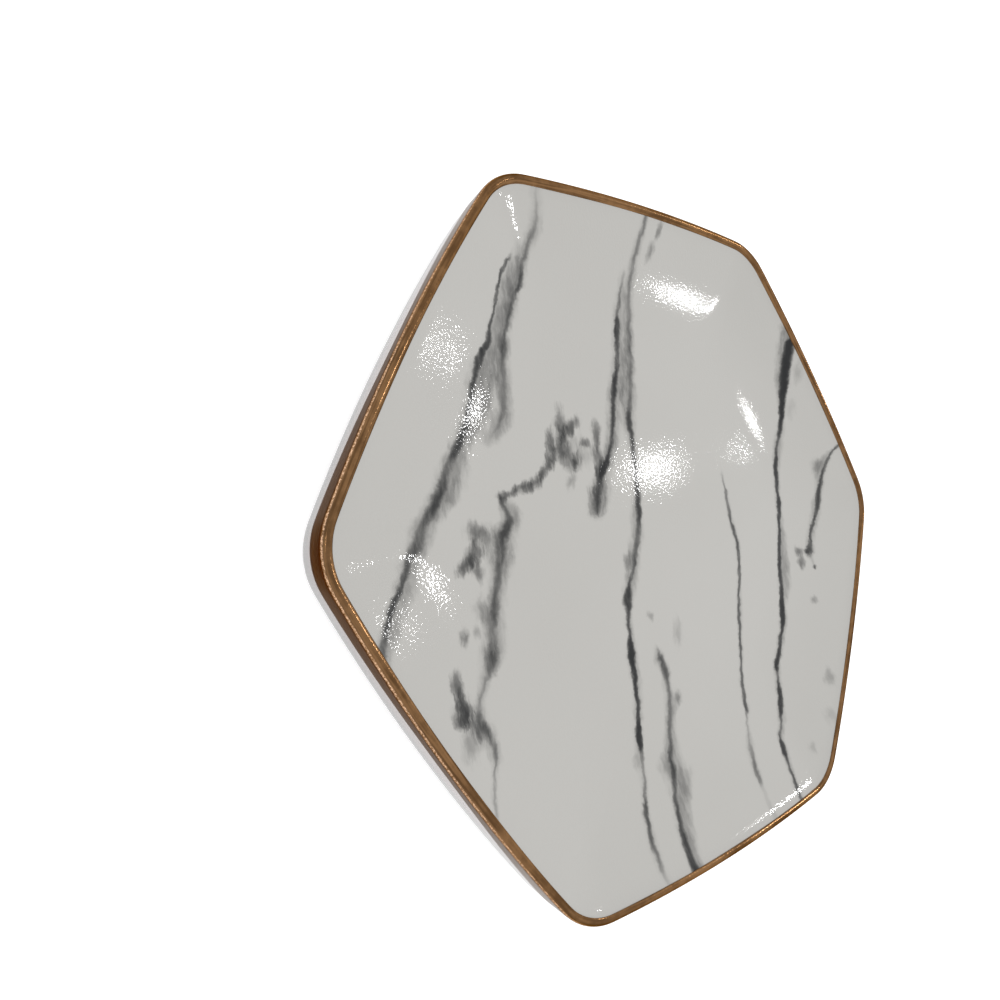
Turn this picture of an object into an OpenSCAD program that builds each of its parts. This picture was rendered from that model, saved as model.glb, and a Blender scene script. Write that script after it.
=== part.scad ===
// Hexagonal ceramic ring dish with a marbled glaze inside and a gold band round its rim.
// The origin is on the table, under the middle of the dish. +Z is up, and +X and -X run through
// two opposite corners. Lengths are in millimetres.
// Each layer is a cross-section carried round one family of outlines: hexagons with bowed sides
// and round corners, each at an inset from the outer wall. A point of a cross-section is
// [x, z], where x is the distance outward from the finished outer wall: inside the dish it is
// negative, and its inset is -x.

/* [Outline] */
// Distance between the middles of two opposite sides
across_flats = 106; // [90:1:140]
// How far the middle of a side bows out from a straight one
side_bow = 1.6; // [0.8:0.1:3]
// Radius of the outer wall's corners, seen from above
corner_r = 10.7; // [8:0.1:16]
// How much rounder the corners grow toward the middle, as a share of the inset
corner_growth = 0.45; // [0.35:0.05:0.6]
// Height of the rim's crest above the table
total_h = 13; // [12:0.5:18]

/* [Rim] */
// Radius of the rim's outer top edge
rim_r = 0.7; // [0.6:0.05:0.9]
// Width of the rim, from the outer wall to the foot of its bevel
rim_w = 2.1; // [2:0.1:2.6]
// Slope of the rim's inner bevel, in degrees
rim_slope = 35; // [30:1:40]

/* [Bowl] */
// Depth of the flat floor below the rim's crest
floor_depth = 5.6; // [5.2:0.1:6.4]
// Slope of the border inside the rim, in degrees
bowl_slope = 21; // [17:1:23]
// Radius of the curve between the border and the floor
bowl_r = 46; // [25:1:50]

/* [Underside] */
// Height of the foot ring
foot_h = 1.6; // [1:0.1:2]
// Distance from the outer wall in to the foot ring
foot_inset = 9; // [7:0.5:12]
// Width of the foot ring
foot_w = 3.5; // [2.5:0.25:4.5]
// Radius of the foot ring's lower edges
foot_round = 0.6; // [0.3:0.1:0.8]
// How far the underside is hollowed inside the foot ring
recess_h = 1; // [0.5:0.1:1.4]
// Radius of the outer wall's bottom edge
edge_r = 2.6; // [1.5:0.1:3.4]

/* [Glaze] */
// Thickness of the glaze
glaze_t = 0.45; // [0.3:0.05:0.5]
// Thickness of the gold
gold_t = 0.15; // [0.1:0.01:0.2]
// How far in from the outer wall the gold reaches
gold_in = 1.8; // [1.5:0.1:1.9]
// How far below the crest the gold reaches on the outer wall
gold_drop = 3.8; // [2:0.1:5]

/* [Hidden] */

SIDES = 6;
HALF_TURN = 180 / SIDES;
// Facets along a side arc, round a corner, and along the arcs of a cross-section
SIDE_STEPS = 6;
CORNER_STEPS = 6;
EDGE_STEPS = 4;
BEVEL_STEPS = 2;
BOWL_STEPS = 7;
// How far a cutting shape reaches past what it cuts, and a foot into its body
OVER = 0.3;

// Side arcs: their radius, and how far behind the middle of the dish their centres lie
mid_to_side = across_flats / 2;
half_side = (mid_to_side - side_bow) * tan(HALF_TURN);
side_r = (pow(half_side, 2) + pow(side_bow, 2)) / (2 * side_bow);
side_back = side_r - mid_to_side;

// Heights of the underside, of the hollow inside the foot ring, and of the floor
under_z = foot_h;
recess_z = under_z + recess_h;
floor_z = total_h - floor_depth;

// Arc centres and corners of the cross-section
rim_centre = [-rim_r, total_h - rim_r];
edge_centre = [-edge_r, under_z + edge_r];
bevel_normal = [-sin(rim_slope), cos(rim_slope)];
border_normal = [-sin(bowl_slope), cos(bowl_slope)];
bevel_top = rim_centre + rim_r * bevel_normal;
bevel_foot = [-rim_w, bevel_top.y - (bevel_top.x + rim_w) * tan(rim_slope)];
curve_drop = bowl_r * (1 - cos(bowl_slope));
border_run = (bevel_foot.y - floor_z - curve_drop) / tan(bowl_slope);
bowl_centre = [bevel_foot.x - border_run - bowl_r * sin(bowl_slope), floor_z + bowl_r];

// Distance from the middle of the dish to a corner arc's centre
function corner_reach(inset, r) =
    sqrt(pow(side_r - inset - r, 2) - pow(side_back * sin(HALF_TURN), 2))
    - side_back * cos(HALF_TURN);

// Points on an arc about a centre, both ends included
function arc(centre, r, from, to, steps) =
    [for (i = [0 : steps])
        let (a = from + (to - from) * i / steps)
        centre + r * [cos(a), sin(a)]];

// Outline at an inset: for each side, its arc and then the corner arc that follows it
function outline(inset) =
    let (
        r = norm([corner_r - inset, corner_growth * inset]),
        reach = corner_reach(inset, r),
        corner = reach * [cos(HALF_TURN), sin(HALF_TURN)],
        spread = atan2(corner.y, corner.x + side_back),
        side_arc = arc([-side_back, 0], side_r - inset, -spread, spread, SIDE_STEPS),
        corner_arc = arc(corner, r, spread, 2 * HALF_TURN - spread, CORNER_STEPS),
        points = concat(side_arc, [for (i = [1 : CORNER_STEPS - 1]) corner_arc[i]])
    )
    [for (k = [0 : SIDES - 1], p = points)
        let (a = (2 * k + 1) * HALF_TURN)
        [p.x * cos(a) - p.y * sin(a), p.x * sin(a) + p.y * cos(a)]];

// Parts of the cross-section at a depth under the finished surface. The outer rim rises from the
// wall to the crest, and the inner rim goes on from there to the bevel. The border runs from the
// bevel's foot to the floor, and the edge from the wall round to the underside.
function crest(depth) = rim_centre + [0, rim_r - depth];
function outer_rim(depth) = arc(rim_centre, rim_r - depth, 0, 90, EDGE_STEPS);
function inner_rim(depth) =
    let (bend = arc(rim_centre, rim_r - depth, 90, 90 + rim_slope, BEVEL_STEPS))
    [for (i = [1 : BEVEL_STEPS]) bend[i]];
function bevel_at(x, depth) =
    [x, bevel_top.y - (bevel_top.x - x) * tan(rim_slope) - depth / cos(rim_slope)];
function border(depth) =
    let (foot = bevel_foot - depth * (bevel_normal + border_normal)
        / (1 + bevel_normal * border_normal))
    concat([foot], arc(bowl_centre, bowl_r + depth, bowl_slope - 90, -90, BOWL_STEPS));
function lower_edge(depth) = arc(edge_centre, edge_r - depth, 0, -90, EDGE_STEPS);
function reversed(list) = [for (i = [len(list) - 1 : -1 : 0]) list[i]];

// Solid between the outlines of a cross-section's points, which run outward over the top and
// back in underneath. A ring's section closes on itself. A capped one ends at the middle.
module carried_round(section, ring = true) {
    rows = [for (p = section) [for (q = outline(-p.x)) [q.x, q.y, p.y]]];
    n = len(rows[0]);
    last = len(rows) - 1;
    strips = ring ? last : last - 1;
    bands = [for (i = [0 : strips], j = [0 : n - 1])
        let (
            a = i * n + j,
            b = i * n + (j + 1) % n,
            c = (i + 1) % len(rows) * n + (j + 1) % n,
            d = (i + 1) % len(rows) * n + j
        )
        each [[a, b, c], [a, c, d]]];
    top = [for (j = [n - 1 : -1 : 0]) j];
    bottom = [for (j = [0 : n - 1]) last * n + j];
    polyhedron([for (row = rows) each row], ring ? bands : concat(bands, [top, bottom]));
}

// Plate that fills the outline inside the foot ring
module foot_hollow(z, h) {
    translate([0, 0, z])
        linear_extrude(h)
            polygon(outline(foot_inset + foot_w));
}

// Bare foot ring, from the table up into the body
module foot_ring() {
    top_z = under_z + glaze_t + OVER;
    outer = [-foot_round, foot_round];
    inner = [foot_round - foot_w, foot_round];
    tread = concat(
        [[0, top_z]],
        arc(outer, foot_round, 0, -90, BEVEL_STEPS),
        arc(inner, foot_round, -90, -180, BEVEL_STEPS),
        [[-foot_w, top_z]]
    );
    carried_round([for (p = tread) p - [foot_inset, 0]]);
}

// Fired clay: floor, border, wall and rim, with the bare foot ring under it
module clay_body() {
    section = concat(
        reversed(border(glaze_t)),
        reversed(inner_rim(glaze_t)),
        reversed(outer_rim(glaze_t)),
        lower_edge(glaze_t)
    );
    color("#cfc6b8")
    difference() {
        union() {
            carried_round(section, ring = false);
            foot_ring();
        }
        foot_hollow(-OVER, recess_z + glaze_t + OVER);
    }
}

// Marbled glaze from the rim's crest in over the border and the floor
module marble_glaze() {
    color("#c9c9c5")
    carried_round(
        concat(
            reversed(border(0)),
            [bevel_at(-gold_in, 0), bevel_at(-gold_in, gold_t)],
            reversed(inner_rim(gold_t)),
            [crest(gold_t), crest(glaze_t)],
            inner_rim(glaze_t),
            border(glaze_t)
        ),
        ring = false
    );
}

// Plain glaze from the rim's crest down the outer wall and under it to the foot ring
module side_glaze() {
    gold_z = total_h - gold_drop;
    color("#e4e1df")
    carried_round(concat(
        reversed(outer_rim(gold_t)),
        [[-gold_t, gold_z], [0, gold_z]],
        lower_edge(0),
        [[-foot_inset, under_z], [-foot_inset, under_z + glaze_t]],
        reversed(lower_edge(glaze_t)),
        outer_rim(glaze_t)
    ));
}

// Plain glaze on the hollow inside the foot ring
module base_glaze() {
    color("#e4e1df")
    foot_hollow(recess_z, glaze_t);
}

// Gold band over the rim, from the bevel inside to the top of the outer wall
module gold_rim() {
    gold_z = total_h - gold_drop;
    color("#a9793f")
    carried_round(concat(
        [bevel_at(-gold_in, 0)],
        reversed(inner_rim(0)),
        reversed(outer_rim(0)),
        [[0, gold_z], [-gold_t, gold_z]],
        outer_rim(gold_t),
        inner_rim(gold_t),
        [bevel_at(-gold_in, gold_t)]
    ));
}

clay_body();
marble_glaze();
side_glaze();
base_glaze();
gold_rim();
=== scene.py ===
# Ring dish: a hexagonal glazed dish with marble veins inside and a gold band over its rim.
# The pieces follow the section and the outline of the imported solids. Sizes are in millimetres, and
# the pieces are built in metres. A point of a section is (x, z), where x is the distance outward
# from the outer wall, so that it is negative inside the dish and its inset is -x.
import math

import bmesh
import bpy
from mathutils import Matrix, Vector


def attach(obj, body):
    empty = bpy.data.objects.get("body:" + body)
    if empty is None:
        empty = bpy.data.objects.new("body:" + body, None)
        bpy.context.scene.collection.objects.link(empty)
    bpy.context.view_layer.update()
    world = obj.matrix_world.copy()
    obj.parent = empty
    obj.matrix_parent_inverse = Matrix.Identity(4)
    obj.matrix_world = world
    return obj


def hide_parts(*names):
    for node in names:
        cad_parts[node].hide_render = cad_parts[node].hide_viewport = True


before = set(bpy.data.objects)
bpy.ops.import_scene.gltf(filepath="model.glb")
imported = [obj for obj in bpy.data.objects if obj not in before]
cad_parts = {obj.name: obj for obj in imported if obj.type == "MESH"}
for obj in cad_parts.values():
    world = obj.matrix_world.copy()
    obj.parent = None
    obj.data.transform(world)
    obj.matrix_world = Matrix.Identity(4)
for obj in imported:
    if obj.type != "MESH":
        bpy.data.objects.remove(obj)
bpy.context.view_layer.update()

MM = 0.001
SIXTH = math.radians(60)
QUARTER = math.radians(90)
OTHER_SIDES = 5

# Outline of the dish
ACROSS_FLATS = 106.0
SIDE_BOW = 1.6
CORNER_R = 10.7
CORNER_GROWTH = 0.45
HEIGHT = 13.0

# Rim, bowl, underside and foot
RIM_R = 0.7
RIM_W = 2.1
RIM_SLOPE = math.radians(35)
FLOOR_DEPTH = 5.6
BOWL_SLOPE = math.radians(21)
BOWL_R = 46.0
FOOT_H = 1.6
FOOT_INSET = 9.0
FOOT_W = 3.5
FOOT_ROUND = 0.6
RECESS_H = 1.0
EDGE_R = 2.6

# Glaze and gold. The gold sinks a little into the glaze, and the glaze into the foot ring.
GLAZE_T = 0.45
GLAZE_SUNK = 0.15
GOLD_T = 0.08
GOLD_SUNK = 0.02
GOLD_IN = 1.45
GOLD_DROP = 4.4

# Brush waves along the gold's inner and lower edges: size, number round the rim and start
INNER_WAVES = ((0.27, 1, QUARTER - 0.9), (0.03, 7, 1), (0.02, 13, 2))
LOWER_WAVES = ((1.1, 6, QUARTER), (0.15, 11, 1))

# Facets of the cage along half a side, round half a corner, along the section's arcs and down
# the walls
SIDE_STEPS = 5
CORNER_STEPS = 4
EDGE_STEPS = 4
BEVEL_STEPS = 2
BOWL_STEPS = 7
FOOT_STEPS = 3
GLAZE_STEPS = 6
WALL_STEPS = 4
SMOOTHING = 2

# Extra rows under the dish, as insets, and one in from the foot ring
UNDER_ROW = 5.0
NEAR_FOOT_ROW = 8.6
ROOF_ROW = 1.0
# Shares by which a flat is drawn in toward its middle
FLAT_SHARES = (0.62, 0.45, 0.0)

# Distances within which vertices are merged, the radius of the ring that is merged into a row's
# first vertex, and how far below the crest's arc the gold's lower edge starts to wander
MIRROR_MERGE = 0.001
MERGE = 0.002
SEED_R = 0.01
CREST_MARGIN = 0.01

MID = ACROSS_FLATS / 2
HALF_SIDE = (MID - SIDE_BOW) * math.tan(SIXTH / 2)
SIDE_R = (HALF_SIDE ** 2 + SIDE_BOW ** 2) / (2 * SIDE_BOW)
SIDE_BACK = SIDE_R - MID
FLOOR_Z = HEIGHT - FLOOR_DEPTH
RECESS_Z = FOOT_H + RECESS_H
CREST_Z = HEIGHT - RIM_R
GOLD_Z = HEIGHT - GOLD_DROP


def arc(cx, cz, r, start, end, steps):
    """Points of a section's arc, from one angle in degrees to another."""
    angles = [math.radians(start + (end - start) * i / steps) for i in range(steps + 1)]
    return [(cx + r * math.cos(a), cz + r * math.sin(a)) for a in angles]


def rim_top(depth):
    """Round outer edge of the rim, from the wall over the crest to the bevel."""
    slope = math.degrees(RIM_SLOPE)
    outer = arc(-RIM_R, CREST_Z, RIM_R - depth, 0, 90, EDGE_STEPS)
    inner = arc(-RIM_R, CREST_Z, RIM_R - depth, 90, 90 + slope, BEVEL_STEPS)
    return outer + inner[1:]


def bevel(x, depth):
    """Point of the rim's inner bevel at a distance outward from the wall."""
    top_x = -RIM_R - RIM_R * math.sin(RIM_SLOPE)
    top_z = CREST_Z + RIM_R * math.cos(RIM_SLOPE)
    return (x, top_z - (top_x - x) * math.tan(RIM_SLOPE) - depth / math.cos(RIM_SLOPE))


def border(depth):
    """Bevel's foot, border and bowl curve, down to the floor."""
    foot_x, foot_z = bevel(-RIM_W, 0)
    turn = math.cos(RIM_SLOPE) * math.cos(BOWL_SLOPE) + math.sin(RIM_SLOPE) * math.sin(BOWL_SLOPE)
    nx = -math.sin(RIM_SLOPE) - math.sin(BOWL_SLOPE)
    nz = math.cos(RIM_SLOPE) + math.cos(BOWL_SLOPE)
    run = (foot_z - FLOOR_Z - BOWL_R * (1 - math.cos(BOWL_SLOPE))) / math.tan(BOWL_SLOPE)
    centre_x = foot_x - run - BOWL_R * math.sin(BOWL_SLOPE)
    foot = (foot_x - depth * nx / (1 + turn), foot_z - depth * nz / (1 + turn))
    slope = math.degrees(BOWL_SLOPE)
    curve = arc(centre_x, FLOOR_Z + BOWL_R, BOWL_R + depth, slope - 90, -90, BOWL_STEPS)
    middle = ((foot[0] + curve[0][0]) / 2, (foot[1] + curve[0][1]) / 2)
    return [foot, middle] + curve


def lower_edge(depth):
    """Round bottom edge of the outer wall."""
    return arc(-EDGE_R, FOOT_H + EDGE_R, EDGE_R - depth, 0, -90, EDGE_STEPS)


def wall_rows(x, top, bottom, steps):
    """Even rows down an upright wall, without its ends."""
    return [(x, top + (bottom - top) * i / steps) for i in range(1, steps)]


def back(points):
    """The same points the other way round."""
    return list(reversed(points))


def corner_centre(inset, r):
    """Distance from the middle of the dish to the centre of a corner's arc."""
    reach = (SIDE_R - inset - r) ** 2 - (SIDE_BACK * math.sin(SIXTH / 2)) ** 2
    return math.sqrt(reach) - SIDE_BACK * math.cos(SIXTH / 2)


def select_row(mesh, *wanted):
    """Select the vertices of the given rows, and with them the edges that run along them."""
    bpy.ops.mesh.select_all(action="DESELECT")
    bm = bmesh.from_edit_mesh(mesh)
    row = bm.verts.layers.int["row"]
    for v in bm.verts:
        v.select_set(v[row] in wanted)
    bm.select_flush_mode()
    bmesh.update_edit_mesh(mesh)


def number_row(mesh, number, selected):
    """Number as a row the selected vertices, or else those that have no number yet."""
    bm = bmesh.from_edit_mesh(mesh)
    row = bm.verts.layers.int["row"]
    for v in bm.verts:
        chosen = v.select if selected else v[row] == 0
        if chosen:
            v[row] = number
    bmesh.update_edit_mesh(mesh)


def draw_row(x, z):
    """Half a side and half a corner at one inset: a vertex spun about two centres."""
    inset = -x
    r = math.hypot(CORNER_R - inset, CORNER_GROWTH * inset)
    reach = corner_centre(inset, r)
    across = reach * math.sin(SIXTH / 2)
    along = reach * math.cos(SIXTH / 2)
    spread = math.atan2(across, along + SIDE_BACK)
    bpy.ops.mesh.select_all(action="DESELECT")
    bpy.ops.mesh.primitive_circle_add(vertices=3, radius=SEED_R * MM,
                                      location=(0, (MID - inset) * MM, z * MM))
    bpy.ops.mesh.merge(type="CENTER")
    bpy.ops.mesh.spin(steps=SIDE_STEPS, angle=spread, center=(0, -SIDE_BACK * MM, z * MM),
                      axis=(0, 0, 1))
    bpy.ops.mesh.spin(steps=CORNER_STEPS, angle=SIXTH / 2 - spread,
                      center=(across * MM, along * MM, z * MM), axis=(0, 0, 1))


def close_middle(mesh, number, z):
    """Close a flat: the row is drawn in toward the middle twice, then to a point."""
    for share in FLAT_SHARES:
        select_row(mesh, number)
        number += 1
        bpy.ops.mesh.extrude_edges_move()
        bpy.ops.transform.resize(value=(share, share, 1), center_override=(0, 0, z * MM))
        if share == 0.0:
            bpy.ops.mesh.merge(type="CENTER")
        number_row(mesh, number, selected=True)
    return number


def carry_round(name, section, ring=True, finish=None):
    """A piece whose section is carried round the dish's outline. A ring's section closes on
    itself, and another's ends are closed over the middle."""
    bpy.ops.object.select_all(action="DESELECT")
    bpy.ops.mesh.primitive_circle_add(vertices=3, radius=MM, location=(0, 0, 0))
    piece = bpy.context.object
    piece.name = name
    mesh = piece.data
    mesh.name = name
    bpy.ops.object.mode_set(mode="EDIT")
    bpy.ops.mesh.delete(type="VERT")
    bm = bmesh.from_edit_mesh(mesh)
    bm.verts.layers.int.new("row")
    bmesh.update_edit_mesh(mesh)
    last = len(section)
    for number, (x, z) in enumerate(section, start=1):
        draw_row(x, z)
        number_row(mesh, number, selected=False)
        if number > 1:
            select_row(mesh, number - 1, number)
            bpy.ops.mesh.bridge_edge_loops()
    if ring:
        select_row(mesh, 1, last)
        bpy.ops.mesh.bridge_edge_loops()
    else:
        number = close_middle(mesh, last, section[-1][1])
        select_row(mesh, 1)
        bpy.ops.mesh.extrude_edges_move()
        number_row(mesh, number + 1, selected=True)
        close_middle(mesh, number + 1, section[0][1])
    bpy.ops.object.mode_set(mode="OBJECT")
    mirror = piece.modifiers.new("other half of the side", "MIRROR")
    mirror.use_axis = (True, False, False)
    mirror.merge_threshold = MIRROR_MERGE * MM
    bpy.ops.object.modifier_apply(modifier=mirror.name)
    bpy.ops.object.mode_set(mode="EDIT")
    bpy.ops.mesh.select_all(action="SELECT")
    bpy.ops.mesh.spin(steps=OTHER_SIDES, angle=OTHER_SIDES * SIXTH, dupli=True, center=(0, 0, 0),
                      axis=(0, 0, 1))
    bpy.ops.mesh.select_all(action="SELECT")
    bpy.ops.mesh.remove_doubles(threshold=MERGE * MM)
    bpy.ops.mesh.normals_make_consistent(inside=False)
    if finish is not None:
        finish(mesh)
    bpy.ops.object.mode_set(mode="OBJECT")
    smooth = piece.modifiers.new("smoothing", "SUBSURF")
    smooth.levels = smooth.render_levels = SMOOTHING
    bpy.ops.object.modifier_apply(modifier=smooth.name)
    bpy.ops.object.shade_smooth()
    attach(piece, "root")
    return piece


# Pieces

inside = carry_round(
    "marbled_inside",
    back(border(GOLD_T)) + back(rim_top(GOLD_T)[EDGE_STEPS:])
    + rim_top(GLAZE_T)[EDGE_STEPS:] + border(GLAZE_T),
    ring=False,
)
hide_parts("marble_glaze")

under_out = FOOT_H + GOLD_T
under_in = FOOT_H + GLAZE_T
glaze_end = -FOOT_INSET - GLAZE_SUNK
wall = carry_round(
    "glazed_wall",
    back(rim_top(GOLD_T)[:EDGE_STEPS + 1])
    + wall_rows(-GOLD_T, CREST_Z, FOOT_H + EDGE_R, GLAZE_STEPS)
    + lower_edge(GOLD_T) + [(-UNDER_ROW, under_out), (-NEAR_FOOT_ROW, under_out)]
    + [(glaze_end, under_out), (glaze_end, under_in), (-UNDER_ROW, under_in)]
    + back(lower_edge(GLAZE_T))
    + wall_rows(-GLAZE_T, FOOT_H + EDGE_R, CREST_Z, GLAZE_STEPS)
    + rim_top(GLAZE_T)[:EDGE_STEPS + 1],
)
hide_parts("side_glaze")

foot_end = -FOOT_INSET - FOOT_W
foot_out = arc(-FOOT_INSET - FOOT_ROUND, FOOT_ROUND, FOOT_ROUND, 0, -90, FOOT_STEPS)
foot_in = arc(foot_end + FOOT_ROUND, FOOT_ROUND, FOOT_ROUND, -90, -180, FOOT_STEPS)
roof = RECESS_Z + GLAZE_T
clay = carry_round(
    "clay_body_and_foot",
    back(border(GLAZE_T)) + back(rim_top(GLAZE_T))
    + wall_rows(-GLAZE_T, CREST_Z, FOOT_H + EDGE_R, WALL_STEPS) + lower_edge(GLAZE_T)
    + [(-UNDER_ROW, under_in), (-FOOT_INSET, under_in), (-FOOT_INSET, FOOT_H)]
    + foot_out + [(-FOOT_INSET - FOOT_W / 2, 0.0)] + foot_in
    + [(foot_end, RECESS_Z), (foot_end, roof), (foot_end - ROOF_ROW, roof)],
    ring=False,
)
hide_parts("clay_body")

gold_depth = GOLD_T + GOLD_SUNK
gold_section = (
    [bevel(-GOLD_IN, 0)] + back(rim_top(0)) + wall_rows(0, CREST_Z, GOLD_Z, WALL_STEPS)
    + [(0, GOLD_Z), (-gold_depth, GOLD_Z)] + wall_rows(-gold_depth, GOLD_Z, CREST_Z, WALL_STEPS)
    + rim_top(gold_depth) + [bevel(-GOLD_IN, gold_depth)]
)


def brush_waves(turn, waves):
    """Sum of waves round the rim at an angle."""
    return sum(size * math.sin(count * turn + start) for size, count, start in waves)


def wander_edges(mesh):
    """Let both edges of the gold wander a little, as a brush leaves them."""
    bm = bmesh.from_edit_mesh(mesh)
    row = bm.verts.layers.int["row"]
    for v in bm.verts:
        turn = math.atan2(v.co.y, v.co.x)
        if v[row] in (1, len(gold_section)):
            slide = brush_waves(turn, INNER_WAVES) * MM
            v.co.x -= slide * math.cos(turn)
            v.co.y -= slide * math.sin(turn)
            v.co.z -= slide * math.tan(RIM_SLOPE)
        elif v.co.z < (CREST_Z - CREST_MARGIN) * MM:
            share = (CREST_Z - v.co.z / MM) / (CREST_Z - GOLD_Z)
            v.co.z -= share * brush_waves(turn, LOWER_WAVES) * MM
    bmesh.update_edit_mesh(mesh)


def mark_facing(piece):
    """Attribute: -1 faces the middle of the dish, 0 up, and 1 outward."""
    mesh = piece.data
    facing = mesh.attributes.new("facing", "FLOAT", "POINT")
    for v in mesh.vertices:
        out = Vector((v.co.x, v.co.y, 0)).normalized()
        facing.data[v.index].value = v.normal.dot(out)


gold = carry_round("gold_band", gold_section, finish=wander_edges)
mark_facing(gold)
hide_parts("gold_rim")
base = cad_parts["base_glaze"]


# Materials

# Places of the colour sockets on a mixing node
MIX_A = 6
MIX_B = 7
MIX_OUT = 2


def new_material(name):
    material = bpy.data.materials.new(name)
    material.use_nodes = True
    tree = material.node_tree
    return material, tree, tree.nodes["Principled BSDF"]


def fill(tree, socket, value):
    """Set a socket to a number or a colour, or link it where the value is another socket."""
    if isinstance(value, tuple):
        socket.default_value = value if socket.type == "VECTOR" else (*value, 1)
    elif isinstance(value, (int, float)):
        socket.default_value = value
    else:
        tree.links.new(value, socket)


def math_node(tree, operation, *values):
    node = tree.nodes.new("ShaderNodeMath")
    node.operation = operation
    for socket, value in zip(node.inputs, values):
        fill(tree, socket, value)
    return node.outputs[0]


def vector_node(tree, operation, a, b):
    node = tree.nodes.new("ShaderNodeVectorMath")
    node.operation = operation
    fill(tree, node.inputs[0], a)
    fill(tree, node.inputs[1], b)
    return node.outputs[0]


def noise_node(tree, where, scale, detail=2.0, roughness=0.5):
    node = tree.nodes.new("ShaderNodeTexNoise")
    node.inputs["Scale"].default_value = scale
    node.inputs["Detail"].default_value = detail
    node.inputs["Roughness"].default_value = roughness
    tree.links.new(where, node.inputs["Vector"])
    return node.outputs


def noise(tree, where, scale, detail=2.0, roughness=0.5):
    return noise_node(tree, where, scale, detail, roughness)["Fac"]


def remap(tree, value, low, high, to_low=0.0, to_high=1.0, kind="SMOOTHSTEP"):
    """Carry a value from one range to another. Any end of a range can be a socket."""
    node = tree.nodes.new("ShaderNodeMapRange")
    node.interpolation_type = kind
    names = ("Value", "From Min", "From Max", "To Min", "To Max")
    for name, number in zip(names, (value, low, high, to_low, to_high)):
        fill(tree, node.inputs[name], number)
    return node.outputs["Result"]


def mix_colour(tree, factor, a, b):
    node = tree.nodes.new("ShaderNodeMix")
    node.data_type = "RGBA"
    fill(tree, node.inputs["Factor"], factor)
    fill(tree, node.inputs[MIX_A], a)
    fill(tree, node.inputs[MIX_B], b)
    return node.outputs[MIX_OUT]


def split_xyz(tree, vector):
    node = tree.nodes.new("ShaderNodeSeparateXYZ")
    tree.links.new(vector, node.inputs[0])
    return node.outputs


def millimetres(tree):
    """Object coordinates in millimetres."""
    where = tree.nodes.new("ShaderNodeTexCoord").outputs["Object"]
    return vector_node(tree, "MULTIPLY", where, (1 / MM, 1 / MM, 1 / MM))


def bump(tree, shader, height, distance):
    """Bump whose full height is a distance in millimetres."""
    node = tree.nodes.new("ShaderNodeBump")
    node.inputs["Strength"].default_value = 1.0
    node.inputs["Distance"].default_value = distance * MM
    tree.links.new(height, node.inputs["Height"])
    tree.links.new(node.outputs["Normal"], shader.inputs["Normal"])


def new_group(name, ins, out):
    """A node group with named inputs (name, kind) and one output, a float."""
    tree = bpy.data.node_groups.new(name, "ShaderNodeTree")
    for label, kind in ins:
        tree.interface.new_socket(label, in_out="INPUT", socket_type="NodeSocket" + kind)
    tree.interface.new_socket(out, in_out="OUTPUT", socket_type="NodeSocketFloat")
    enter = tree.nodes.new("NodeGroupInput").outputs
    leave = tree.nodes.new("NodeGroupOutput").inputs[out]
    return tree, enter, leave


def use_group(tree, which, **values):
    """Result of a group. An input's name has an underscore for each space."""
    node = tree.nodes.new("ShaderNodeGroup")
    node.node_tree = which
    for label, value in values.items():
        fill(tree, node.inputs[label.replace("_", " ")], value)
    return node.outputs[0]


def make_glaze_skin():
    """Height of a fired glaze's skin: gentle orange peel with fine pinprick grain."""
    tree, enter, leave = new_group("glaze skin", [("Position", "Vector")], "Height")
    peel = noise(tree, enter["Position"], 0.35, 1.0)
    grain = noise(tree, enter["Position"], 3.0, 0.0)
    tree.links.new(math_node(tree, "MULTIPLY_ADD", peel, 0.5, grain), leave)
    return tree


# Units in which a vein's curves are kept, so that all their values lie between -1 and 1:
# millimetres along and across the dish, millimetres of the wash, and darkness
SPAN = 60.0
WASH_SPAN = 10.0
DARKEST = 4.0


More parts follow.
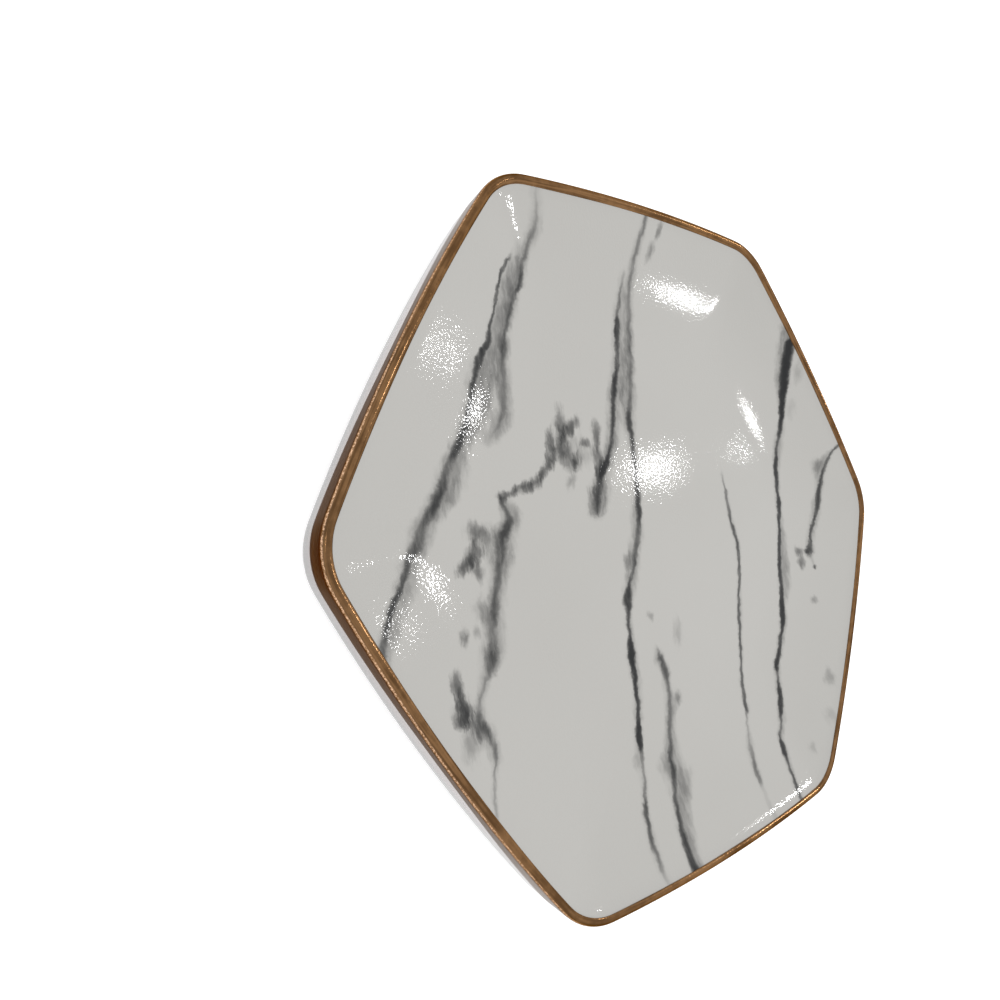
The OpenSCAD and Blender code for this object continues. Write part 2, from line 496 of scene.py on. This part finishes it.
def make_vein_group():
    """Ink of one painted vein: a dark core with a soft wash beside it."""
    tree, enter, leave = new_group("marble vein", [
        ("Position", "Vector"), ("Core", "Vector"), ("Wash", "Vector"), ("Streak", "Float"),
    ], "Ink")
    streak = enter["Streak"]
    course, half, dark = split_xyz(tree, enter["Core"])
    route = math_node(tree, "MULTIPLY", course, SPAN)
    aside = math_node(tree, "SUBTRACT", split_xyz(tree, enter["Position"])["X"], route)
    # The core is dense in the middle and frays where the streaks are thin
    fray = remap(tree, streak, 0.3, 0.7, -0.15, 0.15, "LINEAR")
    off = math_node(tree, "ADD", math_node(tree, "ABSOLUTE", aside), fray)
    near = math_node(tree, "MULTIPLY", half, 0.15)
    far = math_node(tree, "MULTIPLY_ADD", half, 1.4, 0.3)
    dense = remap(tree, off, near, far, 1.0, 0.0)
    dense = math_node(tree, "MULTIPLY", dense, math_node(tree, "MULTIPLY", dark, DARKEST))
    thick = remap(tree, streak, 0.25, 0.6, 0.55, 1.1, "LINEAR")
    dense = math_node(tree, "MULTIPLY", dense, thick)
    # The wash is wide and soft, and feathered along the vein
    offset, half, dark = split_xyz(tree, enter["Wash"])
    away = math_node(tree, "SUBTRACT", aside, math_node(tree, "MULTIPLY", offset, WASH_SPAN))
    reach = math_node(tree, "MULTIPLY_ADD", half, WASH_SPAN, 0.05)
    away = math_node(tree, "DIVIDE", math_node(tree, "ABSOLUTE", away), reach)
    feather = remap(tree, streak, 0.3, 0.7, 0.13, -0.13, "LINEAR")
    soft = remap(tree, math_node(tree, "ADD", away, feather), 0.1, 1.35, 1.0, 0.0)
    soft = math_node(tree, "MULTIPLY", soft, math_node(tree, "MULTIPLY", dark, DARKEST))
    thick = remap(tree, streak, 0.32, 0.66, 0.62, 1.14, "LINEAR")
    soft = math_node(tree, "MULTIPLY", soft, thick)
    tree.links.new(math_node(tree, "ADD", dense, soft), leave)
    return tree


def make_dab_group():
    """Ink of one short dab of the brush. Position is 1 away from its middle at its edge."""
    tree, enter, leave = new_group("brush dab", [
        ("Position", "Vector"), ("Streak", "Float"), ("Density", "Float"), ("Ink before", "Float"),
    ], "Ink")
    away = tree.nodes.new("ShaderNodeVectorMath")
    away.operation = "LENGTH"
    tree.links.new(enter["Position"], away.inputs[0])
    fray = remap(tree, enter["Streak"], 0.3, 0.7, 0.3, -0.3, "LINEAR")
    off = math_node(tree, "ADD", away.outputs["Value"], fray)
    dense = remap(tree, off, 0.0, 1.2, 1.0, 0.0)
    ink = math_node(tree, "MULTIPLY_ADD", dense, enter["Density"], enter["Ink before"])
    tree.links.new(ink, leave)
    return tree


glaze_skin = make_glaze_skin()
vein_group = make_vein_group()
dab_group = make_dab_group()

# Long veins seen from above, in millimetres, toward +Y. Each point is [y, x, half width and
# darkness of the core, offset, half width and darkness of the wash]. Darkness 4 is black.
VEINS = [
    [(-52, 20.2, .25, .9, 0, .8, .3), (-48, 20.9, .25, 1.6, 0, .9, .4), (-46, 21.2, .2, 1.2, 0, .9, .4),
     (-43.7, 21.6, .4, 2.6, 0, 1, .5), (-42, 21.8, .25, 1.6, .2, 1, .5), (-40, 23.2, .15, .8, 0, 1.1, .5),
     (-38, 23.9, .3, 2.2, 0, 1, .5), (-35, 24.8, .4, 3.2, 0, 1, .5), (-31.5, 25.4, .12, .9, 0, .9, .4),
     (-29.5, 25.8, .4, 3, .1, 1, .5), (-27.5, 27.1, .4, 2.6, .1, 1.1, .5),
     (-25, 28.4, .3, 2, .1, 1.2, .6), (-22, 29.9, .45, 3.4, .2, 1.2, .6),
     (-20, 30.4, .55, 4, .2, 1.2, .6), (-17, 31.1, .45, 3, .8, 1.4, .6),
     (-15, 31.6, .35, 2.4, 1, 1.8, .7), (-10, 32.5, .4, 2.6, 1.2, 1.7, .7),
     (-6, 33.6, .35, 2.4, .8, 1.5, .6), (-3, 34.3, .35, 2.6, .4, 1.2, .5), (1, 35.2, .42, 2.9, 0, 1, .5),
     (3, 35.25, .3, 2.2, 0, 1, .5), (6, 35.5, .42, 2.6, 0, 1, .5), (9, 35.7, .42, 3, .2, 1.2, .6),
     (12.5, 36.4, .2, 1.2, .3, 1.3, .6), (15, 37.2, .3, 2, .2, 1.2, .6), (17.5, 37.9, .4, 3, .1, 1, .5),
     (20, 38.1, .45, 3.6, 0, 1.1, .5), (22.5, 38.3, .55, 3.8, -.2, 1.3, .6),
     (25, 38.6, .8, 4, -.4, 1.7, .7), (27.5, 38.8, .8, 4, -.5, 1.9, .8), (30, 39.1, .95, 4, -.6, 2, .8),
     (33, 39.5, .8, 3.6, -.7, 2, .9), (34.5, 39.6, .2, 1, -.5, 1.9, .9), (37, 39.2, 0, 0, -.6, 1.6, .4)],
    [(-52, 12.4, .5, .15, 0, .8, .1), (-48, 12.5, .3, .1, 0, .6, .1), (-45.5, 12.7, .3, .9, 0, .9, .3),
     (-42, 13.3, .35, .8, 0, 1.1, .4), (-40, 13.8, .2, .3, 0, 1, .3), (-37.5, 14.6, .1, .3, 0, .6, .2),
     (-36, 15.2, .2, .9, 0, .8, .3), (-34.4, 15.4, .3, 1.8, 0, .9, .3),
     (-30.6, 15.6, .25, 1.5, 0, .8, .3), (-27, 16.2, .22, 1.3, .1, .8, .3),
     (-24, 16.7, .25, 1.6, .1, .8, .3), (-20, 17.4, .25, 1.5, .1, .9, .3),
     (-16, 18.1, .25, 1.5, .1, .9, .3), (-12.5, 19.1, .25, 1.4, 0, .8, .3),
     (-8.8, 19.8, .28, 1.6, 0, .9, .3), (-5.6, 20, .35, 1.6, 0, 1, .4), (-3, 19.4, .3, 1.5, 0, .9, .3),
     (0, 18.9, .25, 1.3, 0, .8, .3), (3, 18.8, .25, 1.1, 0, .7, .3), (5, 18.6, .15, .7, 0, .5, .2),
     (7.5, 18.3, .1, .2, 0, .4, .1), (9, 18.2, 0, 0, 0, .3, 0)],
    [(-51, -14, .15, .2, 0, .8, .1), (-49.4, -14.1, .25, .6, 0, .9, .2),
     (-47.5, -14.2, .25, 1, 0, .9, .3), (-45, -13.9, .25, 1.4, 0, .9, .3),
     (-42.5, -13.4, .3, 1.7, 0, .8, .3), (-40.6, -12.6, .15, .9, 0, .8, .2),
     (-38, -11.8, .12, .7, -.3, .9, .2), (-35.8, -11.4, .2, 1, -.8, 1.3, .5),
     (-34.2, -11.25, .42, 3.6, -.3, 1, .4), (-31.9, -11.1, .45, 4, 0, 1, .4),
     (-29.5, -10.6, .28, 2.2, 0, 1.1, .5), (-26.5, -10.4, .3, 2.4, .1, 1.1, .5),
     (-23.5, -10.4, .35, 2.9, .2, 1.2, .5), (-20, -10.5, .5, 4, .2, 1.2, .5),
     (-17, -10.3, .22, 1.6, .2, .9, .4), (-14.4, -10.1, .22, 1.6, 0, .9, .4),
     (-12, -9.7, .75, 2.8, .1, 1.4, .6), (-10, -9.3, .3, 1.8, .4, 1.5, .6),
     (-7.5, -7.8, .3, .9, -.2, 1.5, .7), (-4, -6.5, .4, 1.1, -.3, 1.6, .6),
     (-1, -5.4, .35, 1.3, -.3, 1.5, .6), (2, -4.75, .5, 2.2, -.6, 1.4, .5),
     (6, -4.5, .35, 1.6, 0, 1.2, .4), (10, -4.3, .3, 1, 0, 1.2, .4), (13.7, -4.2, .3, 1.6, 0, 1.2, .5),
     (17, -4.4, .5, 2, -.2, 1.8, .6), (20, -3.7, .3, .9, -.5, 2, .7), (25, -2.5, .3, .6, -.4, 1.6, .7),
     (30, -1.9, .3, .6, -.2, 1.2, .7), (36, -1.6, .3, .5, 0, 1.2, .6), (42, -1.2, .3, .5, 0, 1.2, .5),
     (47.5, -.2, .3, .8, 0, 1, .3), (51, .6, .25, .8, 0, .9, .3)],
    [(1, -14, 0, 0, 0, 1.2, 0), (2.2, -13.9, .4, .5, .1, 2, 1), (5, -13.2, .5, .9, .1, 2.2, 1.1),
     (7.5, -12.4, .6, 1.7, .2, 1.9, .9), (9.2, -11.3, .6, 2.8, .2, 1.7, .7),
     (11, -10.1, .4, 2.2, 0, 1.6, .7), (14, -8.8, .3, 1.4, 0, 1.6, .8), (17.5, -8, .35, 1.6, .1, 1.5, .8),
     (20.5, -7.4, .35, 1.7, .3, 1.7, .8), (22.6, -6.8, .42, 2.5, .6, 1.9, .8),
     (26, -5.7, .32, 1.7, 1, 2.2, .7), (30, -4.9, .32, 1.6, 1, 2.2, .6),
     (33.2, -4.55, .5, 2.7, .6, 1.6, .6), (35.5, -4.3, .25, 1.2, .5, 1.5, .5),
     (38.5, -3.6, .2, .8, .3, 1.2, .4), (42, -3, .1, .3, 0, .8, .2), (44, -2.8, 0, 0, 0, .6, 0)],
    [(-52, -8.3, .5, 2.4, .6, 1.5, .7), (-50, -8.2, .45, 2.2, .6, 1.5, .7), (-48, -8, .4, 2, .8, 1.6, .7),
     (-45, -7.5, .35, 1.5, 1.2, 1.9, .8), (-42, -6.6, .35, 1.2, 1.6, 2.5, .8),
     (-39.4, -5.7, .45, 1.5, .4, 2.8, .8), (-37.5, -5.5, .45, 1.5, -.2, 2.6, .7),
     (-35, -4.7, .3, .9, 0, 1.5, .7), (-32.5, -4.1, .3, .8, 0, 1.3, .7),
     (-29.5, -3.4, .3, .8, .6, 1.7, .6), (-27, -3.3, .25, .8, 0, 1.1, .4),
     (-24.5, -3.5, .5, 1.4, 0, 1.2, .5), (-22.5, -4.1, .5, 1.3, -.2, 1.3, .5),
     (-21, -4.6, .2, .4, 0, 1, .2), (-19.5, -5, 0, 0, 0, .6, 0)],
    [(-13.5, -53.4, .4, .9, .2, 1.2, .5), (-11, -52.4, .4, 1.1, .4, 1.5, .6),
     (-8.4, -51.2, .4, 1.6, .9, 1.8, .6), (-6.4, -49.9, .4, 1.9, .9, 1.8, .6),
     (-3.8, -48.1, .4, 1.6, .6, 1.7, .6), (-1.9, -47.1, .4, 1.3, .5, 1.8, .7),
     (.3, -45.5, .9, 1.3, .4, 1.9, .7), (2.5, -44.3, .6, 1, .3, 2.1, .8),
     (4.7, -42.6, .8, 1.6, .8, 2.4, .9), (7, -41.2, .7, 1.6, 1.1, 2.5, .9),
     (10, -39.8, .5, 1, .9, 2.4, .8), (12.5, -38.2, .7, 1.8, .5, 2.1, .8),
     (15, -36.7, .4, 1.6, 1, 2.4, .8), (19, -35.4, .3, 1.5, 1.6, 2.8, .9),
     (23, -34.2, .4, 1.9, 1.8, 2.8, .9), (25.6, -33, .45, 2.8, 2, 2.6, .9),
     (27.5, -31.7, .35, 2.5, 2, 2.4, .9), (29.5, -31.3, .2, 1.8, 1.8, 2.1, .9),
     (32.5, -30.2, .1, 1.5, 2, 2.1, .9), (35.3, -29.4, .12, 1.7, 2.2, 2.2, .9),
     (38.1, -28.5, .15, 1.9, 2.3, 2.2, .9), (40.3, -27, .12, .9, 1.6, 1.6, .6),
     (42.5, -26, 0, 0, 1, 1, .2), (45, -25.4, 0, 0, 0, .8, 0)],
    [(13, -32.6, 0, 0, 0, 1.6, .2), (15.5, -30.8, .2, .3, 0, 2, .7), (18, -29.6, .3, .6, 0, 1.8, .8),
     (22, -29.2, .3, .5, 0, 1.5, .7), (27.5, -28.8, .3, .9, 0, 1.3, .5), (30, -28.1, .2, .8, 0, 1, .4),
     (33, -26.9, .2, .8, -.2, 1, .4), (35.6, -25.8, .22, .9, -.3, 1, .5),
     (37.2, -24.8, .25, 1.5, -.4, 1.2, .5), (39.5, -24.3, .22, 1.1, -.3, 1.1, .4),
     (42, -23.5, .3, .7, -.2, 1.3, .5), (44.4, -22.6, .3, .6, 0, 1.3, .5),
     (46.3, -22.1, .3, .4, 0, 1.4, .4), (48.5, -22.2, .15, .3, 0, 1.2, .2), (51, -22.6, 0, .1, 0, 1.2, .2)],
    [(-33, -40.4, .12, .3, 0, .6, .15), (-29, -39.4, .12, .5, 0, .7, .2),
     (-26.5, -38.5, .2, .6, -.2, 1, .3), (-23.8, -39.3, .5, .9, -.3, 1.8, .5),
     (-21.5, -40, .3, .5, 0, 1.4, .4), (-19.2, -38.8, .2, .4, 0, 1.1, .4),
     (-16.8, -36.9, .6, .6, .1, 1.9, .6), (-14.6, -35.9, .9, .9, 0, 2.2, .7),
     (-12.3, -35.6, .5, .6, .2, 1.9, .6), (-10, -34.8, .7, .9, -.3, 2, .7),
     (-7.5, -34.2, .4, .9, .1, 1.6, .7), (-4.5, -33.2, .4, .9, .4, 2, .8),
     (-2, -32.5, .7, 1.2, 0, 2.5, .9), (.3, -31.8, .8, 1.4, -.3, 2.5, .9),
     (2.5, -30.6, .5, 1.1, .4, 1.8, .8), (4.3, -31.2, .3, 1, .8, 1.5, .7), (5.6, -31.7, .3, 1, .3, 1, .5),
     (6.5, -31.9, 0, .2, 0, .5, .1)],
    [(-13, 41.7, .1, .2, 0, .5, .1), (-11, 41.4, 0, .1, 0, .6, .3), (-9.4, 41.2, .8, 2.2, 0, 1.8, .6),
     (-8.1, 42.1, .3, 1.5, 0, 1.2, .5), (-5.6, 43.1, .25, 1.5, .3, 1.2, .5),
     (-3.6, 44.5, .28, 1.6, .3, 1.3, .5), (-2, 45.8, .35, 1.6, -.2, 1.5, .6),
     (0, 46.9, .6, 2, -.4, 1.6, .6), (1.9, 47.2, .5, 2.1, 0, 1.2, .5),
     (4.4, 47.8, .35, 1.9, -.2, 1.2, .5), (6.9, 48.6, .3, 1.5, -.9, 1.6, .6),
     (9, 49.5, .28, 1.2, -1, 1.6, .6), (10.6, 50.6, .25, 1.2, -.3, 1.2, .4),
     (11.9, 52.3, .25, 1.3, 0, .9, .4), (13.5, 54.5, .2, 1, 0, .9, .3)],
]

# Short strokes: x and y of both ends, half width, darkness
STROKES = [
    (4.6, 51.2, 3.6, 48.4, .35, .8), (3.6, 48.4, 2.2, 44.8, .35, .7), (-22.4, 9.9, -24.1, 8.1, .4, 1.2),
    (-23.9, 8.2, -26.2, 6.9, .5, 1.6), (-25.8, 6.9, -29, 6.5, .45, 1.6), (-28.6, 6.5, -32, 5.5, .4, 1.4),
    (-21.3, 15.2, -21.8, 10.4, .6, 1.4), (-21.8, 11, -22.8, 9.4, .5, 1.3),
    (-19.2, 18.6, -19.2, 13.6, .8, 1.1), (-18.9, 14.1, -15.6, 17.4, .6, 1.5),
    (-19.6, 14.6, -19.8, 10.2, .8, 1.1), (-18.2, 13.2, -18.4, 8.6, .6, .8),
    (-16.7, 11.8, -17.3, 9.2, .45, 1.5), (-18.3, 8.4, -18.7, 6.4, .5, .6),
    (-15.4, 13.7, -14.2, 13.1, .5, 1.3), (-12, 17, -12.2, 12.6, .6, 1.2), (-12.2, 13, -12.6, 9.6, .8, 1),
    (-10.9, 10.4, -12.9, 8.2, .55, 1.8), (-18.3, 13.6, -18.7, 11.6, 2.4, .45),
    (-14.8, 12, -14.8, 10.8, 1.6, .25), (-13.5, 6.4, -14.1, 3, 1, .7), (-36.8, 2, -36, .2, .9, 1),
    (-36, -.8, -37.4, -2.6, .8, 1), (-37.2, -2.5, -39.6, -3.9, .6, 1.6),
    (-36.9, -3, -36.3, -5.4, .6, 1.1), (-34.6, 1, -35.2, -1.2, 1.2, .6),
    (-36.4, -8.2, -36, -10.4, 1.1, .5), (-36.6, -14.2, -36.2, -17, .9, .7),
    (-40.1, -11, -40.2, -13.2, .4, 1), (-37.9, -11.2, -38.3, -12.4, .4, .5),
    (-42.6, -16.2, -42.9, -19.2, .6, 1.4), (-42.9, -18.8, -41.6, -22.2, .7, 1.9),
    (-43.8, -21.3, -42.2, -21.9, .6, 1.4), (-41.8, -22.4, -39.2, -23.6, .8, 1),
    (-42.2, -23, -42.4, -26, .9, .6), (-43, -20.2, -41.4, -21, 1.3, .6), (-38.6, -25, -38.5, -28, .6, .4),
    (.6, -16.6, .7, -21.4, .6, .35), (-5.6, -14.6, -5, -15.8, .35, .5), (-8.6, -5.2, -8.2, -6.4, .9, .6),
    (-1.8, -28.2, -.9, -30, .5, .6), (41.9, 29, 41.6, 25.4, .8, .35), (40.6, 22, 40, 18.4, .9, .2),
    (39.2, -8.9, 37.9, -9.6, .7, 1.1), (38.7, -10.4, 38.3, -12.8, .5, 1.1),
    (41.7, -12.5, 41.5, -13.2, .25, 1.5), (39.1, -18.8, 39.2, -19.8, .5, .6),
    (37, -32.6, 36.8, -34.8, .8, .5), (34.6, -39.6, 34, -41, .8, .25), (28.6, -44, 28.3, -45.6, .5, .3),
    (46.5, 9, 46.7, 6.6, .8, .4), (-53.4, -11.6, -52.9, -12.4, .6, .6),
]

# Columns of a vein's points that its core and its wash need, each with its unit
CORE = ((1, SPAN), (2, 1.0), (3, DARKEST))
WASH = ((4, WASH_SPAN), (5, WASH_SPAN), (6, DARKEST))
COURSE = 1

# A vein that ends this side of the wall fades over a short run past its end
FADE = 0.012
FADES_AFTER = -0.85
FADES_BEFORE = 0.8


def with_ends(values, fading):
    """Carry a curve's points on to both ends of its range."""
    (start, first), (stop, last) = values[0], values[-1]
    if not fading:
        return [(-1.0, first)] + values + [(1.0, last)]
    head = [(start - FADE, 0.0)] if start > FADES_AFTER else []
    tail = [(stop + FADE, 0.0)] if stop < FADES_BEFORE else []
    return [(-1.0, 0.0)] + head + values + tail + [(1.0, 0.0)]


def course_node(tree, along, course, columns):
    """Curves of three of a vein's values against the distance along the dish."""
    node = tree.nodes.new("ShaderNodeVectorCurve")
    node.mapping.use_clip = False
    node.mapping.extend = "HORIZONTAL"
    for curve, (column, unit) in zip(node.mapping.curves, columns):
        values = [(p[0] / SPAN, p[column] / unit) for p in course]
        values = with_ends(values, fading=column != COURSE)
        points = curve.points
        points[0].location, points[1].location = values[0], values[-1]
        for place in values[1:-1]:
            points.new(*place)
        for point in points:
            point.handle_type = "AUTO_CLAMPED"
    node.mapping.update()
    tree.links.new(along, node.inputs["Vector"])
    return node.outputs["Vector"]


def marble_ink(tree, where):
    """Ink of all the veins and strokes at a place on the glaze."""
    flat = tree.nodes.new("ShaderNodeCombineXYZ")
    apart = split_xyz(tree, where)
    for axis in "XY":
        tree.links.new(apart[axis], flat.inputs[axis])
    where = flat.outputs[0]
    # The brush wanders a little, and the ink runs in fine streaks along it
    drift = noise_node(tree, where, 0.55, 3.0, 0.6)["Color"]
    drift = vector_node(tree, "SUBTRACT", drift, (0.5, 0.5, 0.5))
    drift = vector_node(tree, "MULTIPLY", drift, (1.15, 1.8, 0.0))
    place = vector_node(tree, "ADD", where, drift)
    streak_at = vector_node(tree, "MULTIPLY", place, (1.5, 0.42, 1.0))
    streak = noise(tree, streak_at, 0.7, 3.0, 0.58)
    share = math_node(tree, "DIVIDE", split_xyz(tree, place)["Y"], SPAN)
    along = tree.nodes.new("ShaderNodeCombineXYZ")
    for socket in along.inputs:
        tree.links.new(share, socket)
    ink = 0.0
    for course in VEINS:
        vein = use_group(tree, vein_group, Position=place, Streak=streak,
                         Core=course_node(tree, along.outputs[0], course, CORE),
                         Wash=course_node(tree, along.outputs[0], course, WASH))
        ink = math_node(tree, "ADD", vein, ink)
    for x0, y0, x1, y1, half, dark in STROKES:
        at = tree.nodes.new("ShaderNodeMapping")
        at.vector_type = "TEXTURE"
        at.inputs["Location"].default_value = ((x0 + x1) / 2, (y0 + y1) / 2, 0)
        at.inputs["Rotation"].default_value = (0, 0, math.atan2(y1 - y0, x1 - x0))
        reach = math.hypot(x1 - x0, y1 - y0) / 2 + half
        at.inputs["Scale"].default_value = (reach, half * 1.5 + 0.35, 1)
        tree.links.new(place, at.inputs["Vector"])
        ink = use_group(tree, dab_group, Position=at.outputs["Vector"], Streak=streak,
                        Density=dark, Ink_before=ink)
    return where, ink


def marble_material():
    """Pale glossy glaze with black veins."""
    material, tree, shader = new_material("marbled_glaze")
    skin_at = millimetres(tree)
    where, ink = marble_ink(tree, skin_at)
    cloud = noise(tree, where, 0.03, 3.0)
    ground = mix_colour(tree, cloud, (0.448, 0.440, 0.418), (0.478, 0.470, 0.449))
    ink = math_node(tree, "POWER", ink, 1.15)
    clear = math_node(tree, "EXPONENT", math_node(tree, "MULTIPLY", ink, -1.0))
    black = (0.010, 0.011, 0.012)
    tree.links.new(mix_colour(tree, clear, black, ground), shader.inputs["Base Color"])
    shader.inputs["Roughness"].default_value = 0.06
    shader.inputs["IOR"].default_value = 1.5
    shader.inputs["Specular IOR Level"].default_value = 0.22
    bump(tree, shader, use_group(tree, glaze_skin, Position=skin_at), 0.0125)
    return material


def plain_material():
    """Plain grey glaze, pinker toward the gold and plain grey lower down."""
    material, tree, shader = new_material("plain_glaze")
    where = millimetres(tree)
    cloud = noise(tree, where, 0.05, 3.0)
    colour = mix_colour(tree, cloud, (0.235, 0.229, 0.228), (0.265, 0.258, 0.257))
    # The glaze's colour changes with height: pinker near the gold, plain grey lower down
    blush = remap(tree, split_xyz(tree, where)["Z"], HEIGHT - 8.0, HEIGHT - 4.5)
    blush = math_node(tree, "MULTIPLY", blush, 0.6)
    colour = mix_colour(tree, blush, colour, (0.33, 0.262, 0.252))
    tree.links.new(colour, shader.inputs["Base Color"])
    shader.inputs["Roughness"].default_value = 0.08
    shader.inputs["Specular IOR Level"].default_value = 0.25
    bump(tree, shader, use_group(tree, glaze_skin, Position=where), 0.006)
    return material


def gold_material():
    """Brushed gold lustre, with painted light: a painted dark reflection on its outward face and a painted
    copper glint along the crest.
    """
    material, tree, shader = new_material("gold_lustre")
    where = millimetres(tree)
    facing = tree.nodes.new("ShaderNodeAttribute")
    facing.attribute_name = "facing"
    # Brush lines run round the rim, so they change fast with the height alone
    lines_at = vector_node(tree, "MULTIPLY", where, (0.10, 0.10, 6.0))
    lines = noise(tree, lines_at, 1.0, 3.0, 0.6)
    blotch = noise(tree, where, 0.6, 3.0, 0.6)
    tone = remap(tree, math_node(tree, "MULTIPLY_ADD", blotch, 0.4, lines), 0.52, 0.88)
    bright = mix_colour(tree, tone, (0.105, 0.055, 0.024), (0.225, 0.122, 0.055))
    # Painted dark reflection: a much darker copy of the gold for the outward face, standing in for the
    # shaded table that this face reflects
    tone = remap(tree, lines, 0.38, 0.62)
    painted_dark_reflection = mix_colour(tree, tone, (0.028, 0.012, 0.006), (0.100, 0.046, 0.021))
    # Painted highlight: a light copper colour for a lamp's glint along the crest's outer round
    painted_crest_glint = (0.80, 0.52, 0.34)
    # Height above the table, with the blotches added, where the painted dark reflection gives way to the
    # painted copper glint
    outside = remap(tree, facing.outputs["Fac"], 0.45, 0.6)
    height = split_xyz(tree, where)["Z"]
    blotched_height = math_node(tree, "MULTIPLY_ADD", blotch, 0.5, height)
    low = remap(tree, blotched_height, HEIGHT - 0.52, HEIGHT - 0.24, 1.0, 0.0)
    rise = remap(tree, blotched_height, HEIGHT - 0.55, HEIGHT - 0.25)
    fall = remap(tree, height, HEIGHT - 0.34, HEIGHT - 0.18, 1.0, 0.0)
    fleck = remap(tree, noise(tree, where, 5.0, 2.0, 0.7), 0.40, 0.62)
    # Painted highlight: specks of the copper glint in a thin band along the crest, on the outward face only
    painted_glint_mask = math_node(tree, "MULTIPLY", math_node(tree, "MULTIPLY", rise, fall), outside)
    painted_glint_mask = math_node(tree, "MULTIPLY", math_node(tree, "MULTIPLY", painted_glint_mask, fleck), 0.8)
    # Painted dark reflection on the outward face below the crest; the inner face keeps the brighter gold
    colour = mix_colour(tree, math_node(tree, "MULTIPLY", outside, low), bright, painted_dark_reflection)
    colour = mix_colour(tree, painted_glint_mask, colour, painted_crest_glint)
    tree.links.new(colour, shader.inputs["Base Color"])
    shader.inputs["Metallic"].default_value = 1.0
    shader.inputs["Roughness"].default_value = 0.16
    shader.inputs["Specular Tint"].default_value = (0.42, 0.36, 0.32, 1)
    bump(tree, shader, use_group(tree, glaze_skin, Position=where), 0.012)
    return material


def clay_material():
    """Bare fired clay, matt and finely specked."""
    material, tree, shader = new_material("bare_clay")
    speck = noise(tree, millimetres(tree), 3.0, 3.0, 0.6)
    tone = remap(tree, speck, 0.35, 0.7)
    colour = mix_colour(tree, tone, (0.50, 0.43, 0.35), (0.66, 0.60, 0.52))
    tree.links.new(colour, shader.inputs["Base Color"])
    shader.inputs["Roughness"].default_value = 0.75
    bump(tree, shader, speck, 0.02)
    return material


def dress(obj, material):
    obj.data.materials.clear()
    obj.data.materials.append(material)


plain_glaze = plain_material()
dress(inside, marble_material())
dress(wall, plain_glaze)
dress(gold, gold_material())
dress(clay, clay_material())
for place in base.material_slots:
    place.material = plain_glaze


# Floor, light and camera

# Round lamps that face the dish: name, azimuth from +X toward +Y and elevation in degrees,
# diameter in metres, and radiance
LAMPS = (
    ("key", 8, 42, 0.046, 66),
    ("second", 8, 31, 0.024, 62),
    ("window", 165, 56, 0.05, 30),
)
LAMP_DISTANCE = 0.9

CAMERA_AT = Vector((-0.07409, -0.00048, 0.07335))
CAMERA_TURN = Matrix((
    (0.84051489, 0.05448124, -0.53904222),
    (-0.11078479, 0.99119183, -0.07256371),
    (0.53034088, 0.12070856, 0.83914718),
))


def floor_material():
    """White floor that glows a little, so that the dish's shadow stays faint."""
    material, tree, shader = new_material("pale_floor")
    cloud = noise(tree, millimetres(tree), 0.01)
    colour = mix_colour(tree, cloud, (0.90, 0.90, 0.90), (0.92, 0.92, 0.92))
    tree.links.new(colour, shader.inputs["Base Color"])
    shader.inputs["Roughness"].default_value = 0.9
    shader.inputs["Specular IOR Level"].default_value = 0.1
    tree.links.new(colour, shader.inputs["Emission Color"])
    shader.inputs["Emission Strength"].default_value = 0.45
    return material


def add_floor():
    bpy.ops.object.select_all(action="DESELECT")
    bpy.ops.mesh.primitive_plane_add(size=8.0, location=(0, 0, -0.1 * MM))
    floor = bpy.context.object
    floor.name = "floor"
    dress(floor, floor_material())


def add_world():
    """Even white light, a little stronger from +X."""
    world = bpy.data.worlds.new("studio")
    world.use_nodes = True
    tree = world.node_tree
    background = tree.nodes["Background"]
    background.inputs["Color"].default_value = (1, 1, 1, 1)
    toward = split_xyz(tree, tree.nodes.new("ShaderNodeTexCoord").outputs["Generated"])
    tree.links.new(remap(tree, toward["X"], -0.35, 0.75, 1.05, 1.15), background.inputs["Strength"])
    bpy.context.scene.world = world


def add_lamp(name, azimuth, elevation, size, radiance):
    a, e = math.radians(azimuth), math.radians(elevation)
    toward = Vector((math.cos(a) * math.cos(e), math.sin(a) * math.cos(e), math.sin(e)))
    data = bpy.data.lights.new(name, "AREA")
    data.shape = "DISK"
    data.size = size
    data.energy = radiance * math.pi * math.pi * (size / 2) ** 2
    light = bpy.data.objects.new(name, data)
    turn = toward.to_track_quat("Z", "Y").to_matrix().to_4x4()
    light.matrix_world = Matrix.Translation(toward * LAMP_DISTANCE) @ turn
    bpy.context.scene.collection.objects.link(light)


def add_camera():
    data = bpy.data.cameras.new("camera")
    data.sensor_width = 36.0
    data.lens = 20.22
    data.clip_start = 0.005
    camera = bpy.data.objects.new("camera", data)
    camera.matrix_world = Matrix.Translation(CAMERA_AT) @ CAMERA_TURN.to_4x4()
    bpy.context.scene.collection.objects.link(camera)
    bpy.context.scene.camera = camera


add_floor()
add_world()
for lamp in LAMPS:
    add_lamp(*lamp)
add_camera()
bpy.context.scene.view_settings.view_transform = "Standard"
